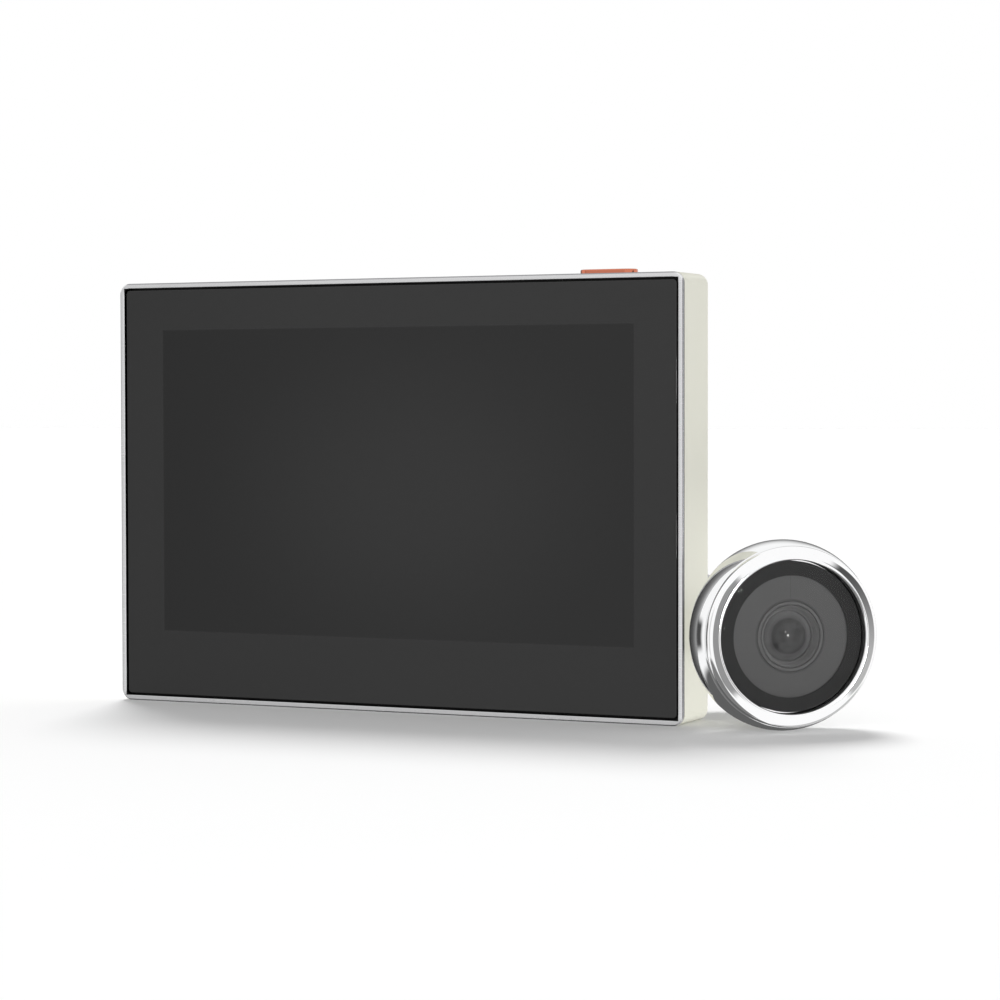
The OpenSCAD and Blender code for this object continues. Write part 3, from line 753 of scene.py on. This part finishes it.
@dataclass
class Monitor:
    """The indoor monitor: glass, trim, housing, button, door plate and pads, in millimetres."""

    shop: Shop
    width: float = MONITOR_SIZE[0]
    height: float = MONITOR_SIZE[1]
    corner: float = 2.0
    front: float = -6.25
    back: float = 6.25
    glass_gap: float = 0.3
    glass_front: float = -6.05
    glass_back: float = -4.95
    ledge: float = 2.6
    seam: float = -5.7
    button_at: float = 40.3
    button_long: float = 10.6
    button_wide: float = 3.5
    button_top: float = 78.9
    plate_size: Point = (70.0, 54.0)
    plate_depth: Point = (6.45, 7.95)
    plate_middle: float = 41.0
    slot_at: float = 27.0
    slot_size: Point = (2.2, 3.0)
    hook_at: Place = (9.0, 17.8, 61.7)
    foot_at: Place = (45.75, 11.5, 66.5)

    def outline(self, inset: float, y: float) -> list[Vector]:
        """The monitor's outline set in from its edge, at one depth."""
        radius = max(self.corner - inset, 0.5)
        flat = rounded(self.width - 2.0 * inset, self.height - 2.0 * inset, radius, 10)
        return [Vector((x, y, z + self.height / 2.0)) for x, z in flat]

    def glass(self) -> None:
        """The cover glass, with eased edges."""
        inset = BEZEL + self.glass_gap
        rows = [(0.0, self.glass_back), (0.0, self.glass_front + 0.18), (0.05, self.glass_front + 0.06)]
        rows += [(0.12, self.glass_front + 0.01), (0.2, self.glass_front), (0.5, self.glass_front)]
        mesh = loft([self.outline(inset + extra, y) for extra, y in rows])
        self.shop.piece("glass_sheet", mesh, Body.MONITOR, "black_glass", "cover_glass")

    def trim(self) -> None:
        """The silver bezel, with its chamfer, its rounded face and the ledge under the glass."""
        tongue = 0.5
        corners = [
            (0.0, self.seam), (0.0, self.front), (BEZEL, self.front),
            (BEZEL, self.glass_back + 0.2), (self.ledge, self.glass_back + 0.2),
            (self.ledge, self.glass_back + 1.3), (tongue, self.glass_back + 1.3), (tongue, self.seam),
        ]
        radii = [0.06, 0.22, 0.16, 0.0, 0.05, 0.05, 0.05, 0.0]
        section = eased(corners, radii, 5)
        mesh = loft([self.outline(inset, y) for inset, y in section], ring=True)
        self.shop.piece("bezel_trim", mesh, Body.MONITOR, "silver_trim", "bezel_frame")

    def key_row(self, grow: float, z: float) -> list[Vector]:
        """The button's outline, grown outward, at one height."""
        wide, long = self.button_wide + 2.0 * grow, self.button_long + 2.0 * grow
        flat = rounded(long, wide, wide / 2.0 - 0.001, 16)
        return [Vector((x + self.button_at, y, z)) for x, y in flat]

    def key(self) -> None:
        """The power button: a polished key with a rolled top edge and a flange inside the wall."""
        top = self.button_top
        rows = [(0.9, 75.65), (0.9, 76.35), (0.0, 76.35), (0.0, top - 0.22), (-0.03, top - 0.11)]
        rows += [(-0.1, top - 0.03), (-0.22, top), (-0.45, top)]
        nub = [(-0.75, 75.1), (-0.75, 75.65)]
        mesh = joined(*(loft([self.key_row(*pair) for pair in pairs]) for pairs in (rows, nub)))
        self.shop.piece("copper_key", mesh, Body.BUTTON, "copper_button", "power_button")

    def arc(self, radius: float, x: float, start: float, swing: float, steps: int) -> list[Point]:
        """The points of a clockwise arc about x at the plate's middle height, as (x, z)."""
        turns = [start - swing * step / steps for step in range(steps)]
        ends = [(radius * math.cos(turn), radius * math.sin(turn)) for turn in turns]
        return [(x + over, self.plate_middle + rise) for over, rise in ends]

    def plate(self) -> None:
        """The door plate: eased edges, the barrel's hole, two screw slots and four hooks."""
        edge = [(x, z + self.plate_middle) for x, z in rounded(*self.plate_size, 4.0, 12)]
        outlines = [edge, self.arc(6.3, 0.0, 0.0, math.tau, 72)]
        radius, half = self.slot_size
        for x in (-self.slot_at, self.slot_at):
            right = self.arc(radius, x + half, math.pi / 2.0, math.pi, 20)
            left = self.arc(radius, x - half, -math.pi / 2.0, math.pi, 20)
            outlines.append(right + left)
        data = self.shop.plate("screw_plate", outlines, self.plate_depth, 0.18)
        made = bpy.data.objects.new("screw_plate", data)
        self.shop.finish(made, Body.PLATE, "plate_alloy", "door_plate", sharp=10.0)
        near, far, bend = self.plate_depth[0] + 0.02, 3.2, 4.6
        profile = [(near, 0.0), (far, 0.0), (far, 4.2), (bend, 4.2), (bend, 1.5), (near, 1.5)]
        section = eased(profile, [0.0, 0.5, 0.3, 0.3, 0.25, 0.0], 4)
        hooks = []
        for x in (-self.hook_at[0], self.hook_at[0]):
            for z in self.hook_at[1:]:
                rows = [[Vector((x + half, y, z + up)) for y, up in section] for half in (-3.0, 3.0)]
                hooks.append(loft(rows))
        self.shop.piece("plate_hooks", joined(*hooks), Body.PLATE, "plate_alloy", sharp=30.0)

    def feet(self) -> None:
        """The four rubber feet on the back, with rolled edges."""
        rows = [(3.5, 0.0), (3.5, 1.3), (3.45, 1.5), (3.3, 1.64), (3.05, 1.7), (2.2, 1.7), (2.0, 1.62)]
        turns = [math.tau * index / 64 for index in range(64)]
        circle = [(math.cos(turn), math.sin(turn)) for turn in turns]
        feet = []
        for x in (-self.foot_at[0], self.foot_at[0]):
            for z in self.foot_at[1:]:
                loops = []
                for radius, out in rows:
                    y = self.back + out
                    loops.append([Vector((x + radius * over, y, z + radius * up)) for over, up in circle])
                feet.append(loft(loops))
        self.shop.piece("rubber_feet", joined(*feet), Body.MONITOR, "dark_rubber", "back_pads")

    def build(self) -> None:
        """Makes all the monitor's own pieces."""
        self.glass()
        self.trim()
        self.key()
        self.plate()
        self.feet()


@dataclass
class CameraUnit:
    """The outdoor camera unit, turned about its own axis, in millimetres along it from its widest line."""

    shop: Shop
    steps: int = 192
    nut_steps: int = 240
    nut_grooves: int = 12

    def __post_init__(self) -> None:
        """Works out the unit's axes from its turn."""
        self.rear = Vector((-math.sin(HEAD_TURN), math.cos(HEAD_TURN), 0.0))
        self.side = Vector((math.cos(HEAD_TURN), math.sin(HEAD_TURN), 0.0))
        self.up = Vector((0.0, 0.0, 1.0))

    def at(self, radius: float, angle: float, along: float) -> Vector:
        """The point at a radius, an angle from straight up and a distance along the axis."""
        out = self.up * math.cos(angle) + self.side * math.sin(angle)
        return Vector(HEAD_AT) + self.rear * along + out * radius

    def lathe(self, section: Sequence[Point], steps: int = 0) -> Mesh:
        """Turns a closed section about the axis.

        Args:
            section: its (radius, along) corners in order.
            steps: segments round the axis, or 0 for the unit's own.

        Returns:
            The vertices and faces.
        """
        count = steps or self.steps
        loops = []
        for radius, along in section:
            loops.append([self.at(radius, math.tau * index / count, along) for index in range(count)])
        return loft(loops, ring=True)

    def shell(self) -> None:
        """The bulging chrome head."""
        bulge, middle, first, last = 9.5, 6.7, -3.88, 2.45
        outer = []
        for step in range(25):
            along = first + (last - first) * step / 24.0
            outer.append((middle + math.sqrt(bulge**2 - along**2), along))
        section = [(13.6, -3.98), (15.1, -3.98), (15.25, -3.95)] + outer
        section += [(15.74, 2.56), (15.6, 2.6), (6.02, 2.6), (6.02, 0.8), (13.6, 0.8)]
        turned = self.lathe(section)
        self.shop.piece("chrome_head", turned, Body.CAMERA, "chrome_shell", "head_shell", sharp=50.0)

    def ring(self) -> None:
        """The chrome front ring: an inner roll, a flat band that leans out and an outer roll."""
        section = [(12.95, -2.45), (12.95, -4.95), (12.98, -5.12), (13.06, -5.27), (13.18, -5.37)]
        section += [(13.32, -5.425), (13.46, -5.44), (13.56, -5.425), (13.66, -5.404), (14.0, -5.331)]
        section += [(14.4, -5.246), (14.54, -5.216), (14.7, -5.165), (14.9, -5.06), (15.06, -4.9)]
        section += [(15.19, -4.67), (15.27, -4.38), (15.3, -4.02)]
        section += [(13.5, -4.02), (13.5, -2.6), (11.6, -2.6), (11.6, -2.45)]
        turned = self.lathe(section)
        self.shop.piece("chrome_front_ring", turned, Body.CAMERA, "chrome_ring", "front_ring", sharp=50.0)

    def window(self) -> None:
        """The clear window, with an eased edge."""
        section = [(0.001, -4.85), (12.4, -4.85), (12.55, -4.85), (12.7, -4.8), (12.75, -4.7)]
        section += [(12.75, -3.87), (0.001, -3.87)]
        turned = self.lathe(section)
        self.shop.piece("window_pane", turned, Body.CAMERA, "clear_glass", "window_glass", sharp=30.0)

    def lens(self) -> None:
        """The lens: its hood, the stepped mount inside it and the domed front glass."""
        hood = [(5.35, -3.65), (5.95, -3.65), (5.95, -0.6), (7.15, -0.6), (7.15, 0.0), (5.35, 0.0)]
        turned = self.lathe(eased(hood, [0.14, 0.1, 0.0, 0.05, 0.05, 0.0]))
        self.shop.piece("lens_collar", turned, Body.CAMERA, "grey_plastic", "lens_hood")
        mount = [(4.3, -1.7), (4.3, -2.1), (4.42, -2.45), (4.5, -2.45), (4.72, -3.1), (4.95, -3.5)]
        mount += [(5.15, -3.6), (5.3, -3.5), (5.3, 0.8), (4.95, 0.8), (4.95, 2.8), (4.4, 2.8)]
        mount += [(4.4, 8.9), (3.1, 8.9), (3.1, -1.7)]
        self.shop.piece("lens_mount", self.lathe(mount), Body.CAMERA, "grey_plastic", "lens_barrel")
        curve, apex, edge = 7.0, -3.45, 4.25
        dome = []
        for step in range(25):
            radius = max(edge * step / 24.0, 0.001)
            dome.append((radius, apex + curve - math.sqrt(curve**2 - radius**2)))
        dome += [(edge, -1.72), (0.001, -1.72)]
        self.shop.piece("lens_dome", self.lathe(dome), Body.CAMERA, "lens_glass", "front_lens")

    def barrel(self) -> None:
        """The threaded barrel: a helical thread between two plain collars."""
        pitch, crest, root, start, turns, count = 1.0, 5.98, 5.5, 3.7, 32, 72
        tooth = [(0.0, root), (0.1, root), (0.42, crest), (0.58, crest), (0.9, root)]
        rows = len(tooth)
        verts: list[Vector] = []
        for column in range(count):
            angle = math.tau * column / count
            for turn in range(turns):
                for lift, radius in tooth:
                    along = start + pitch * (turn + column / count + lift)
                    verts.append(self.at(radius, angle, along))
        size = turns * rows
        faces: list[tuple[int, ...]] = []
        for column in range(count):
            shift = rows if column == count - 1 else 0
            for row in range(size - 1 - shift):
                low = column * size + row
                high = (column + 1) % count * size + row + shift
                faces.append((low, low + 1, high + 1, high))
        collar = self.lathe([(5.0, 0.85), (5.99, 0.85), (5.99, 4.8), (5.0, 4.8)], count)
        end = [(5.0, 35.9), (5.99, 35.9), (5.99, 37.42), (5.8, 37.64), (5.6, 37.64), (5.0, 37.04)]
        mesh = joined((verts, faces), collar, self.lathe(end, count))
        self.shop.piece("threaded_barrel", mesh, Body.CAMERA, "chrome_barrel", "barrel_tube", sharp=25.0)

    def gasket(self) -> None:
        """The rubber gasket that lies against the door."""
        section = eased([(6.2, 2.62), (15.2, 2.62), (15.2, 3.6), (6.2, 3.6)], [0.1, 0.2, 0.3, 0.1], 4)
        self.shop.piece("gasket_ring", self.lathe(section, 96), Body.CAMERA, "dark_rubber", "door_gasket")

    def washer(self) -> None:
        """The clamp washer in front of the nut."""
        corners = [(6.1, 30.441), (8.4, 30.441), (8.4, 31.621), (6.1, 31.621)]
        section = eased(corners, [0.1, 0.25, 0.25, 0.1], 4)
        self.shop.piece("washer_ring", self.lathe(section, 96), Body.WASHER, "screw_steel", "clamp_washer")

    def nut_row(self, radius: float, along: float, depth: float) -> list[Vector]:
        """One ring of the nut, with grooves of some depth in its radius."""
        made = []
        for index in range(self.nut_steps):
            angle = math.tau * index / self.nut_steps
            share = max(0.0, math.cos(angle * self.nut_grooves) - 0.55) / 0.45
            made.append(self.at(radius - depth * share, angle, along))
        return made

    def nut(self) -> None:
        """The fixing nut, with grip grooves and chamfered ends."""
        rows = [(6.1, 31.77, 0.0), (6.3, 31.641, 0.0), (7.95, 31.641, 0.15), (8.25, 31.77, 0.5)]
        rows += [(8.4, 32.07, 0.6), (8.4, 35.71, 0.6), (8.25, 36.01, 0.5), (7.95, 36.141, 0.15)]
        rows += [(6.4, 36.141, 0.0), (6.1, 35.91, 0.0)]
        mesh = loft([self.nut_row(*row) for row in rows], ring=True)
        self.shop.piece("grooved_nut", mesh, Body.NUT, "nut_alloy", "fixing_nut", sharp=30.0)

    def build(self) -> None:
        """Makes all the camera unit's own pieces."""
        self.shell()
        self.ring()
        self.window()
        self.lens()
        self.barrel()
        self.gasket()
        self.washer()
        self.nut()


@dataclass(frozen=True)
class Panel:
    """A soft dark panel that polished metal shows.

    Its places are in degrees: the bearing from straight ahead of the monitor, and the rise.
    """

    centre: Point
    half: Point
    soft: Point
    dark: float

    def shade(self, bearing: Sock, rise: Sock) -> Sock:
        """How dark the panel makes a direction, from 0 past its edges to its own darkness."""
        across = abs(bearing - self.centre[0]).step(self.half[0] + self.soft[0], self.half[0])
        upward = abs(rise - self.centre[1]).step(self.half[1] + self.soft[1], self.half[1])
        return across * upward * self.dark


RIGHT_PANEL = Panel((85.0, -2.5), (11.0, 16.0), (2.0, 2.5), 1.0)
AHEAD_PANEL = Panel((-29.0, 0.0), (9.0, 14.0), (10.0, 12.0), 0.2)
ASIDE_PANEL = Panel((-40.0, 0.0), (4.0, 14.0), (10.0, 12.0), 0.2)
PANELS: tuple[Panel, ...] = (
    Panel((43.0, -4.0), (7.5, 16.0), (2.0, 2.5), 0.7),
    Panel((-120.0, -2.0), (34.0, 6.0), (10.0, 8.0), 0.93),
    Panel((-118.0, -62.0), (38.0, 31.0), (7.0, 8.0), 0.88),
    Panel((-22.0, -52.0), (50.0, 27.0), (8.0, 7.0), 0.8),
    Panel((140.0, -54.0), (40.0, 24.0), (8.0, 8.0), 0.45),
)


@dataclass
class Studio:
    """The camera, the lamps, the world and the floor."""

    focal_px: float = 2913.5
    frame_px: float = 1000.0
    yaw: float = 25.46
    pitch: float = 1.855
    roll: float = -0.1
    place: Place = (0.2426, -0.4695, 0.0551)
    daylight: float = 0.45
    behind_at: float = -38.46
    behind_dark: float = 0.88
    sun_width: float = 24.0
    floor_half: float = 6.0
    lens_at: Place = (0.0763, -0.0068, 0.0162)
    side_at: Place = (0.0568, 0.0, 0.008)

    def camera(self) -> None:
        """Sets the camera at the photograph's viewing angle."""
        lens = bpy.data.cameras.new("camera")
        lens.sensor_width = 36.0
        lens.lens = self.focal_px / self.frame_px * lens.sensor_width
        lens.clip_start = 0.01
        yaw, pitch, roll = (math.radians(value) for value in (self.yaw, self.pitch, self.roll))
        facing = Matrix.Rotation(yaw, 4, "Z") @ Matrix.Rotation(math.pi / 2.0 - pitch, 4, "X")
        holder = bpy.data.objects.new("camera", lens)
        holder.matrix_world = Matrix.Translation(self.place) @ facing @ Matrix.Rotation(roll, 4, "Z")
        bpy.context.scene.collection.objects.link(holder)
        bpy.context.scene.camera = holder

    def world(self) -> None:
        """A white surround with the panels that polished metal shows, and plain light for the rest."""
        made = bpy.data.worlds.new("studio")
        bpy.context.scene.world = made
        made.use_nodes = True
        graph = Graph(made.node_tree)
        way = graph.take("ShaderNodeTexCoord", "Generated")
        x, y, z = (graph.axis(way, index) for index in range(3))
        bearing = x.bearing(y * -1.0) * DEGREES
        rise = z.most(-1.0).least(1.0).rise() * DEGREES
        behind = abs(x.bearing(y) * DEGREES - self.behind_at).step(38.0, 26.0)
        shade = behind * rise.step(46.0, 4.0) * rise.step(-80.0, -60.0) * self.behind_dark
        shade = shade.most(RIGHT_PANEL.shade(bearing, rise) * (0.52 + rise.step(-14.0, 14.0) * 0.4))
        shade = shade.most(AHEAD_PANEL.shade(bearing, rise) + ASIDE_PANEL.shade(bearing, rise))
        for panel in PANELS:
            shade = shade.most(panel.shade(bearing, rise))
        shown = graph.shade(grey(1.0), 1.0 - shade)
        rays = ("Is Camera Ray", "Is Glossy Ray", "Is Transmission Ray")
        camera, glossy, passing = (graph.take("ShaderNodeLightPath", ray) for ray in rays)
        shiny = glossy.most(passing)
        colour = graph.mix(camera, graph.mix(shiny, grey(self.daylight), shown), grey(1.0))
        light = graph.take("ShaderNodeBackground", "Background", None, {"Color": colour, "Strength": 1.0})
        graph.node("ShaderNodeOutputWorld", None, {"Surface": light})

    @staticmethod
    def _hang(data: bpy.types.Light, away: Vector, place: Vector) -> bpy.types.Object:
        """Puts a lamp at its place, with what it shines on the other way from away."""
        holder = bpy.data.objects.new(data.name, data)
        turn = away.to_track_quat("Z", "Y").to_matrix().to_4x4()
        holder.matrix_world = Matrix.Translation(place) @ turn
        bpy.context.scene.collection.objects.link(holder)
        return holder

    def sun(self, name: str, bearing: float, rise: float, level: float, shadow: bool) -> None:
        """Adds one soft lamp that is far away.

        Args:
            name: the lamp's name.
            bearing: where it stands, in degrees from straight ahead of the monitor.
            rise: its height over the horizon in degrees.
            level: how bright it makes a white surface that faces it.
            shadow: whether the part shades the floor and itself from it.
        """
        data = bpy.data.lights.new(name, "SUN")
        data.angle = math.radians(self.sun_width)
        data.energy = level * math.pi
        data.use_shadow = shadow
        flat, tall = math.radians(bearing), math.radians(rise)
        away = Vector((math.sin(flat) * math.cos(tall), -math.cos(flat) * math.cos(tall), math.sin(tall)))
        holder = self._hang(data, away, Vector())
        holder.visible_glossy = False

    def lamp(self, name: str, place: Vector, aim: Vector, size: float, power: float) -> None:
        """Adds one small round lamp that only polished surfaces show.

        Args:
            name: the lamp's name.
            place: where it stands, in metres.
            aim: the point that it shines on.
            size: its width.
            power: its power in watts.
        """
        data = bpy.data.lights.new(name, "AREA")
        data.shape = "DISK"
        data.size = size
        data.energy = power
        holder = self._hang(data, place - aim, place)
        holder.visible_camera = False
        holder.visible_diffuse = False

    def fill(self, name: str, place: Vector, aim: Vector, spread: float, power: float) -> None:
        """Adds one soft lamp without shadow that lights the housing alone.

        Args:
            name: the lamp's name.
            place: where it stands, in metres.
            aim: the point that it shines on.
            spread: the width of its cone in degrees.
            power: its power in watts.
        """
        data = bpy.data.lights.new(name, "SPOT")
        data.spot_size = math.radians(spread)
        data.spot_blend = 1.0
        data.energy = power
        data.use_shadow = False
        holder = self._hang(data, place - aim, place)
        holder.visible_glossy = False
        lit = bpy.data.collections.new(name)
        lit.objects.link(frame["nodes"]["rear_housing"])
        holder.light_linking.receiver_collection = lit

    def floor(self) -> None:
        """A pale floor that keeps the part's shadow and runs on into the background."""
        half = self.floor_half
        data = bpy.data.meshes.new("floor")
        corners = [(-half, -half, 0.0), (half, -half, 0.0), (half, half, 0.0), (-half, half, 0.0)]
        data.from_pydata(corners, [], [(0, 1, 2, 3)])
        made = bpy.data.objects.new("floor", data)
        material = bpy.data.materials.new("floor_paper")
        material.use_nodes = True
        graph = Graph(material.node_tree)
        paper = graph.take("ShaderNodeBsdfDiffuse", "BSDF", None, {"Color": grey(0.94)})
        graph.node("ShaderNodeOutputMaterial", None, {"Surface": paper})
        data.materials.append(material)
        made.visible_glossy = False
        bpy.context.scene.collection.objects.link(made)

    def build(self) -> None:
        """Sets the whole studio up."""
        bpy.context.scene.view_settings.view_transform = "Standard"
        self.camera()
        self.world()
        self.sun("key", bearing=212.0, rise=56.0, level=0.6, shadow=True)
        self.sun("right", bearing=104.0, rise=30.0, level=0.25, shadow=False)
        lens, side = Vector(self.lens_at), Vector(self.side_at)
        self.lamp("glint_low", Vector((0.286, -0.143, 0.011)), lens, size=0.022, power=0.06)
        self.lamp("glint_high", Vector((0.39, -0.27, 0.07)), lens, size=0.022, power=0.06)
        self.fill("side_fill", Vector((0.2, -0.06, 0.012)), side, spread=27.0, power=0.48)
        self.floor()


def dress_solids(materials: dict[str, bpy.types.Material]) -> None:
    """Gives every solid of the part the finish of its slot in the record.

    Args:
        materials: the finishes by slot.
    """
    for row in frame["record"]["subparts"]:
        solid = frame["nodes"][row["node"]]
        solid.data.materials.clear()
        solid.data.materials.append(materials[row["material_slot"]])
        LOG.info("%s is dressed in %s", row["node"], row["material_slot"])


def main() -> None:
    """Builds the studio and the part's pieces in order."""
    logging.basicConfig(level=logging.INFO, format="%(message)s")
    materials = {finish.slot: finish.material() for finish in FINISHES}
    dress_solids(materials)
    shop = Shop(materials)
    Studio().build()
    Monitor(shop).build()
    CameraUnit(shop).build()


if __name__ == "__main__":
    main()
